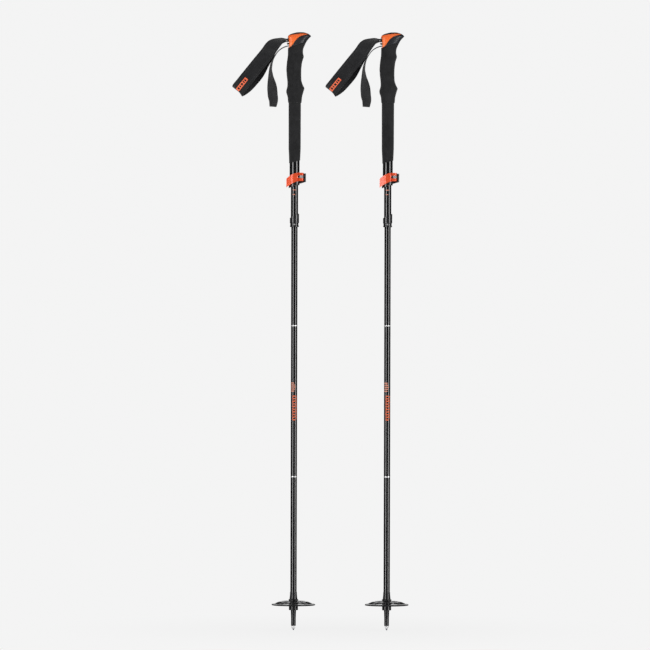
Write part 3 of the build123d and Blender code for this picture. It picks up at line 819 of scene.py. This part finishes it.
def makeHeads():
    head, panels = headParts()
    around = headShape["plugSides"]
    low, high = headShape["plug"]
    turns = [2 * math.pi * k / around for k in range(around)]
    ring = [(math.cos(turn), math.sin(turn)) for turn in turns]
    radius = headShape["plugRadius"]
    points = [Vector((x * radius, y * radius, z)) * mm for z in (low, high) for x, y in ring]
    plug = newPiece("plug", points, ringFaces(2, around), "head")
    for side in sides:
        for part, words, finish, slot in (
            (head, ("GripHead", "_grip_head"), "head", "head_plastic"),
            (panels, ("HeadPanels", "_head_panels"), "panel", "accent_plastic"),
        ):
            whole = bmesh.new()
            whole.from_mesh(part.data)
            if part is head:
                whole.from_mesh(plug.data)
            bmesh.ops.translate(whole, verts=whole.verts, vec=(poleX[side], 0, 0))
            mesh = bpy.data.meshes.new(side + words[0])
            whole.to_mesh(mesh)
            whole.free()
            mesh.materials.clear()
            mesh.materials.append(finishes[finish])
            mesh.shade_smooth()
            piece = bpy.data.objects.new(side + words[0], mesh)
            scene.collection.objects.link(piece)
            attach(piece, side + "_grip")
            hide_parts(side + words[1])
    for spare in (head, panels, plug):
        bpy.data.objects.remove(spare)


makeHeads()
print("heads and panels made")


# The foam grip and sleeve
foamShape = {
    "voxel": 0.7 * mm,
    "smoothing": 8,
    "unevenness": 0.10 * mm,
    "lumpsPerMetre": 55,
    "poreDepth": 0.035 * mm,
    "poresPerMetre": 700,
}


def makeFoam(side, nodeName, pieceName):
    # The sleeve's own outline, remeshed soft, with the slight unevenness and pores of moulded foam
    piece = bpy.data.objects.new(side + pieceName, nodes[side + "_" + nodeName].data.copy())
    scene.collection.objects.link(piece)
    voxels = piece.modifiers.new("voxels", "REMESH")
    voxels.mode = "VOXEL"
    voxels.voxel_size = foamShape["voxel"]
    voxels.use_smooth_shade = True
    soften = piece.modifiers.new("soften", "SMOOTH")
    soften.iterations = foamShape["smoothing"]
    settle(piece)
    places = [vertex.co.copy() for vertex in piece.data.vertices]
    normals = [vertex.normal.copy() for vertex in piece.data.vertices]
    moved = []
    for place, normal in zip(places, normals):
        lump = noise.noise(place * foamShape["lumpsPerMetre"]) * foamShape["unevenness"]
        pore = noise.noise(place * foamShape["poresPerMetre"]) * foamShape["poreDepth"]
        moved.extend(place + normal * (lump + pore))
    piece.data.vertices.foreach_set("co", moved)
    piece.data.update()
    piece.data.materials.clear()
    piece.data.materials.append(finishes["foam"])
    piece.data.shade_smooth()
    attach(piece, side + "_grip")
    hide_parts(side + "_" + nodeName)
    return piece


for side in sides:
    makeFoam(side, "grip_foam", "GripFoam")
    makeFoam(side, "lower_foam", "LowerFoam")
print("foam sleeves made")


def makeYielding(side, nodeName, pieceName, finish):
    piece = bpy.data.objects.new(side + pieceName, nodes[side + "_" + nodeName].data.copy())
    scene.collection.objects.link(piece)
    piece.data.materials.clear()
    piece.data.materials.append(finishes[finish])
    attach(piece, side + "_middle")
    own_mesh(piece)
    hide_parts(side + "_" + nodeName)


for side in sides:
    makeYielding(
        side, "button_spring", "ButtonSpring", "steel",
    )
    makeYielding(
        side, "cord_slack", "CordSlack", "cordBraid",
    )
print("springs and slack cords made")


# The wrist strap
# Stations of the loop: x from the shaft, y, z, twist in degrees, width and thickness, in millimetres.
# A twist of 0 lays the width along Y, and 90 turns it into the plane of the swing.
loopStations = [
    (-9.0, 0.0, 67.5, 0, 22.0, 2.4),
    (-16.2, 0.0, 67.7, 0, 22.4, 2.8),
    (-27.0, -1.6, 66.6, 20, 26.0, 3.2),
    (-39.0, -4.0, 60.4, 42, 30.0, 3.6),
    (-50.5, -6.6, 51.0, 72, 30.0, 3.8),
    (-60.8, -8.8, 36.2, 90, 30.0, 3.8),
    (-79.7, -11.5, 12.9, 90, 30.0, 3.8),
    (-101.7, -11.5, -14.4, 90, 30.0, 3.8),
    (-116.0, -9.5, -32.2, 90, 30.0, 3.6),
    (-123.1, -5.5, -40.8, 90, 30.0, 3.4),
    (-125.2, 0.0, -45.0, 90, 30.0, 3.2),
    (-119.8, 5.5, -43.6, 90, 30.0, 3.4),
    (-107.9, 9.5, -35.2, 90, 30.0, 3.6),
    (-96.1, 11.5, -22.7, 90, 30.0, 3.8),
    (-82.3, 11.5, -5.5, 90, 30.0, 3.8),
    (-70.6, 10.4, 17.0, 90, 30.0, 3.8),
    (-60.4, 8.8, 35.2, 90, 30.0, 3.8),
    (-51.5, 6.0, 51.0, 72, 30.0, 3.6),
    (-40.0, 2.6, 59.3, 42, 30.0, 3.4),
    (-27.5, 0.0, 63.0, 20, 26.0, 3.0),
    (-16.2, 0.0, 63.6, 0, 22.4, 2.8),
    (-9.0, 0.0, 63.7, 0, 22.0, 2.4),
]
tailStations = [
    (-9.0, 0.0, 52.7, 0, 22.2, 1.5),
    (-16.2, 0.0, 52.6, 0, 22.4, 1.6),
    (-27.0, 0.0, 48.6, 0, 22.4, 1.6),
    (-36.9, 0.0, 41.0, 0, 22.4, 1.6),
    (-43.7, 0.0, 31.0, 0, 22.4, 1.6),
    (-48.1, 0.0, 22.5, 3, 22.4, 1.6),
    (-51.4, 0.0, 13.0, 9, 22.4, 1.6),
    (-53.3, 0.0, 1.8, 14, 22.4, 1.6),
    (-53.2, 0.0, -6.5, 21, 22.4, 1.6),
    (-52.7, 0.0, -15.0, 30, 22.4, 1.6),
    (-51.7, 0.0, -23.5, 44, 22.4, 1.6),
    (-50.6, 0.0, -31.9, 60, 22.4, 1.6),
    (-49.9, 0.0, -38.5, 73, 22.4, 1.6),
    (-49.4, 0.0, -45.0, 85, 22.4, 1.6),
    (-48.9, 0.0, -50.5, 91, 22.4, 1.6),
    (-48.5, 0.0, -56.0, 96, 22.4, 1.6),
    (-47.5, 0.0, -61.5, 106, 22.4, 1.6),
    (-46.8, 0.0, -67.0, 118, 22.4, 1.6),
    (-47.2, 0.0, -74.0, 128, 22.4, 1.6),
    (-48.0, 0.0, -81.0, 138, 22.4, 1.6),
]
strap = {
    "samplesPerSpan": 12,
    "bindingWidth": 3.2 * mm,
    "bindingProud": 0.35 * mm,
    "stitchPitch": 3.0 * mm,
    "stitchLength": 2.1 * mm,
    "threadRadius": 0.26 * mm,
    "stitchInset": 4.4 * mm,
    "pivotX": -17.2 * mm,
    "freeX": -33.0 * mm,
    "rumple": 0.22 * mm,
    "tailRumple": 0.12 * mm,
    "rumplesAlong": 90,     # for each metre
    "rumplesAcross": 120,
    "stitchEndClear": 20 * mm,
    "loopRoot": 65.6 * mm,
    "loopFree": 62.5 * mm,
    "tailRoot": 52.6 * mm,
    "tailFree": 46.0 * mm,
}


def loopWidthDirection(run, twist, first):
    # Square to the run as it is seen from the side, so that the fold stays flat
    sideRun = Vector((run.x, 0, run.z)) * (1 if first else -1)
    if sideRun.length < 0.5:
        sideRun = Vector((-0.63, 0, -0.78))
    sideRun.normalize()
    upper = Vector((sideRun.z, 0, -sideRun.x))
    wide = Vector((0, 1, 0)) * math.cos(twist) + upper * math.sin(twist)
    return (wide - run * run.dot(wide)).normalized()


def tailWidthDirection(run, twist, first):
    across = (Vector((0, 1, 0)) - run * run.y).normalized()
    lift = run.cross(across)
    return across * math.cos(twist) + lift * math.sin(twist)


def sampleBand(stations, originX, widthDirection):
    # Smooth samples along the band: distance run, centre, width direction, outward direction, half sizes
    last = len(stations) - 1
    places = [Vector((originX + x * mm, y * mm, z * mm)) for x, y, z, twist, wide, thick in stations]
    widths = []
    for i, station in enumerate(stations):
        run = (places[min(i + 1, last)] - places[max(i - 1, 0)]).normalized()
        widths.append(widthDirection(run, math.radians(station[3]), i <= last // 2))
    halves = [Vector((wide / 2 * mm, thick / 2 * mm)) for x, y, z, twist, wide, thick in stations]
    samples = []
    travelled = 0.0
    steps = strap["samplesPerSpan"]
    for i in range(last):
        picks = [max(i - 1, 0), i, i + 1, min(i + 2, last)]
        for k in range(steps + (1 if i == last - 1 else 0)):
            t = k / steps
            centre = through(*[places[p] for p in picks], t)
            ahead = through(*[places[p] for p in picks], t + 0.01)
            run = (ahead - centre).normalized()
            wide = through(*[widths[p] for p in picks], t)
            wide = (wide - run * run.dot(wide)).normalized()
            half = halves[i].lerp(halves[i + 1], t)
            if samples:
                travelled += (centre - samples[-1]["centre"]).length
            samples.append({
                "run": travelled, "centre": centre, "wide": wide,
                "out": -run.cross(wide).normalized(), "halfWidth": half.x, "halfThick": half.y,
            })
    return samples


def puff(share):
    # Thickness across the padded band: pinched under the binding, full between
    return 0.62 + 0.38 * (1 - abs(share) ** 5)


def bandPoint(sample, across, out):
    return sample["centre"] + sample["wide"] * across + sample["out"] * out


def makeBand(name, samples, finish, crown, rumple, pointsAcross=13):
    points = []
    places = []
    row = [-1 + 2 * k / (pointsAcross - 1) for k in range(pointsAcross)]
    for sample in samples:
        for face in (1, -1):
            for share in (row if face == 1 else row[::-1]):
                rounded = share * (1 - 0.012 * abs(share) ** 8)
                across = rounded * sample["halfWidth"]
                thick = sample["halfThick"] * crown(share)
                along = sample["run"] * strap["rumplesAlong"]
                spot = Vector((along, across * strap["rumplesAcross"], face * 0.7))
                wave = noise.noise(spot) * rumple
                points.append(bandPoint(sample, across, face * thick + wave * (1 - abs(share) ** 4)))
                places.append((sample["run"], across, face * 0.01))
    piece = newPiece(name, points, ringFaces(len(samples), 2 * pointsAcross), finish)
    setPlaces(piece, places)
    return piece


def webCrown(share):
    # The webbing is only a little thinner at its edges
    return 1 - 0.45 * abs(share) ** 6


def makeBinding(name, samples):
    # A folded tape round each edge of the padded band
    points = []
    faces = []
    places = []
    corners = 14
    for edge in (-1, 1):
        first = len(points)
        for sample in samples:
            depth = min(strap["bindingWidth"], sample["halfWidth"])
            lift = sample["halfThick"] * puff(0.9) + strap["bindingProud"]
            for k in range(corners):
                angle = 2 * math.pi * k / corners
                swing = math.cos(angle)
                rise = math.sin(angle)
                squareSwing = math.copysign(abs(swing) ** 0.6, swing)
                squareRise = math.copysign(abs(rise) ** 0.55, rise)
                outer = sample["halfWidth"] + strap["bindingProud"]
                across = edge * (outer - depth / 2 + squareSwing * depth / 2)
                points.append(bandPoint(sample, across, squareRise * lift))
                places.append((sample["run"], k * 0.7 * mm, 0.02))
        faces += ringFaces(len(samples), corners, first)
    piece = newPiece(name, points, faces, "binding")
    setPlaces(piece, places)
    return piece


def pointAlong(samples, run, across, out):
    # A point of the band at a given distance along it
    i = 0
    while i < len(samples) - 2 and samples[i + 1]["run"] < run:
        i += 1
    a, b = samples[i], samples[i + 1]
    t = min(1, max(0, (run - a["run"]) / max(b["run"] - a["run"], 1e-9)))
    return bandPoint(a, across, out).lerp(bandPoint(b, across, out), t)


def makeStitches(name, samples, rows, startRun, endRun, crown):
    # Small raised stitches, each a tapered six-sided grain of thread half sunk in the cloth
    points = []
    faces = []
    places = []
    profile = [(0.0, 0.25), (0.2, 0.85), (0.5, 1.0), (0.8, 0.85), (1.0, 0.25)]
    count = int((endRun - startRun) / strap["stitchPitch"])
    for face, inset, edge in rows:
        for n in range(count):
            run = startRun + n * strap["stitchPitch"]
            nearest = min(samples, key=lambda s: abs(s["run"] - run))
            across = edge * (nearest["halfWidth"] - inset)
            level = nearest["halfThick"] * crown(across / nearest["halfWidth"])
            first = len(points)
            for share, size in profile:
                for k in range(6):
                    angle = math.pi / 3 * k
                    sideways = math.cos(angle) * strap["threadRadius"] * size
                    up = math.sin(angle) * strap["threadRadius"] * size + level
                    place = run + share * strap["stitchLength"]
                    points.append(pointAlong(samples, place, across + sideways, face * up))
                    places.append((place, sideways, up))
            faces += ringFaces(len(profile), 6, first)
    piece = newPiece(name, points, faces, "thread")
    setPlaces(piece, places)
    return piece


labelShape = {
    "clearOfFold": 2.0 * mm,
    "length": 33.0 * mm,
    "width": 8.6 * mm,
    "thick": 0.5 * mm,
    "sunk": 0.3 * mm,
    "barHeight": 0.55,      # share of the label's own
    "barProud": 0.25 * mm,
    "bars": [(0.10, 0.20), (0.26, 0.34), (0.42, 0.56), (0.63, 0.70), (0.77, 0.89)],
}


def makePatch(name, samples, startRun, endRun, low, high, bottom, top, finish, steps=14):
    # A thin closed patch lying on the band's outer face
    points = []
    places = []
    for i in range(steps + 1):
        run = startRun + (endRun - startRun) * i / steps
        for across, out in ((low, bottom), (high, bottom), (high, top), (low, top)):
            points.append(pointAlong(samples, run, across, out))
            places.append((run, across, out))
    piece = newPiece(name, points, ringFaces(steps + 1, 4), finish)
    setPlaces(piece, places)
    for polygon in piece.data.polygons:
        polygon.use_smooth = False
    return piece


def hangStrap(piece):
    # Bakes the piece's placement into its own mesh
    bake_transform(piece)


for side in sides:
    loop = sampleBand(loopStations, poleX[side], loopWidthDirection)
    band = makeBand(side + "StrapLoop", loop, "knit", puff, strap["rumple"], 17)
    hangStrap(band)
    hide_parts(side + "_strap_loop")

    binding = makeBinding(side + "StrapBinding", loop)
    hangStrap(binding)

    whole = loop[-1]["run"]
    clear = strap["stitchEndClear"]
    rows = [(face, strap["stitchInset"], edge) for face in (1, -1) for edge in (1, -1)]
    stitches = makeStitches(side + "StrapStitches", loop, rows, clear, whole - clear, puff)
    hangStrap(stitches)

    foldRun = min(loop, key=lambda s: s["centre"].x)["run"]
    labelEnd = foldRun - labelShape["clearOfFold"]
    labelStart = labelEnd - labelShape["length"]
    surface = loop[len(loop) // 3]["halfThick"]
    halfLabel = labelShape["width"] / 2
    label = makePatch(
        side + "StrapLabel", loop, labelStart, labelEnd, -halfLabel, halfLabel,
        surface - labelShape["sunk"], surface + labelShape["thick"], "labelOrange",
    )
    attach(label, side + "_strap")
    for n, (barStart, barEnd) in enumerate(labelShape["bars"]):
        barTop = surface + labelShape["thick"] + labelShape["barProud"]
        halfBar = halfLabel * labelShape["barHeight"]
        bar = makePatch(
            side + "LabelBar" + str(n + 1), loop,
            labelStart + barStart * labelShape["length"], labelStart + barEnd * labelShape["length"],
            -halfBar, halfBar, surface, barTop, "binding", 3,
        )
        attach(bar, side + "_strap")

    tail = sampleBand(tailStations, poleX[side], tailWidthDirection)
    web = makeBand(side + "StrapTail", tail, "webbing", webCrown, strap["tailRumple"], 15)
    hangStrap(web)
    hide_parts(side + "_strap_tail")
print("wrist straps made")


# Printed marks on the shafts
printShape = {
    "thick": 0.05 * mm,
    "sunk": 0.02 * mm,
    "stepLength": 0.6 * mm,
}


def makeMarks(name, side, radius, marks, finish, body):
    # Thin curved prints on a shaft's front: each mark is left, right, low, high in metres from the axis
    points = []
    faces = []
    proud = printShape["thick"]
    sunk = -printShape["sunk"]
    for left, right, low, high in marks:
        steps = max(2, int((right - left) / printShape["stepLength"]))
        first = len(points)
        for k in range(steps + 1):
            x = left + (right - left) * k / steps
            angle = math.asin(max(-1, min(1, x / radius)))
            for z, reach in ((low, sunk), (high, sunk), (high, proud), (low, proud)):
                r = radius + reach
                points.append(Vector((poleX[side] + r * math.sin(angle), -r * math.cos(angle), z)))
        faces += ringFaces(steps + 1, 4, first)
    piece = newPiece(name, points, faces, finish)
    for polygon in piece.data.polygons:
        polygon.use_smooth = False
    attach(piece, body)


def scaledMarks(marks):
    return [tuple(value * mm for value in mark) for mark in marks]


# A block of short level bars, and below it a ladder of bars with a fine line beside it
barBlock = [(-6.2, 3.4 - 1.5 * abs(n - 2), -689.6 - 4.4 * n, -687.6 - 4.4 * n) for n in range(5)]
ladder = [(-3.6, 3.6, -718.2 - 5.8 * n, -716 - 5.8 * n) for n in range(10)]
ladderGaps = [(-3.6, -1.6, -720.7 - 5.8 * n, -719.3 - 5.8 * n) for n in range(9)]
ladderGaps += [(1.4, 3.2, -721.7 - 5.8 * n, -719.9 - 5.8 * n) for n in range(1, 9, 2)]
sideLine = [(4.9, 5.7, -768, -716)]
lengthTicks = [(-4.1, 1.2 if n % 5 else 3.2, -264.7 - 10 * n, -263.3 - 10 * n) for n in range(-12, 2)]

for side in sides:
    foldLow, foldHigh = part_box(side + "_fold_tube_2")
    foldRadius = (foldHigh.x - foldLow.x) / 2
    tubeLow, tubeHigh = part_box(side + "_middle_tube")
    middleRadius = (tubeHigh.x - tubeLow.x) / 2
    for name, marks, finish in (
        ("PrintBlock", barBlock, "printPale"), ("PrintLadder", ladder, "printOrange"),
        ("PrintRungs", ladderGaps, "printOrange"), ("PrintLine", sideLine, "printOrange"),
    ):
        makeMarks(side + name, side, foldRadius, scaledMarks(marks), finish, side + "_fold_2")
    ticks = scaledMarks(lengthTicks)
    makeMarks(side + "LengthTicks", side, middleRadius, ticks, "printPale", side + "_middle")
print("printed marks made")
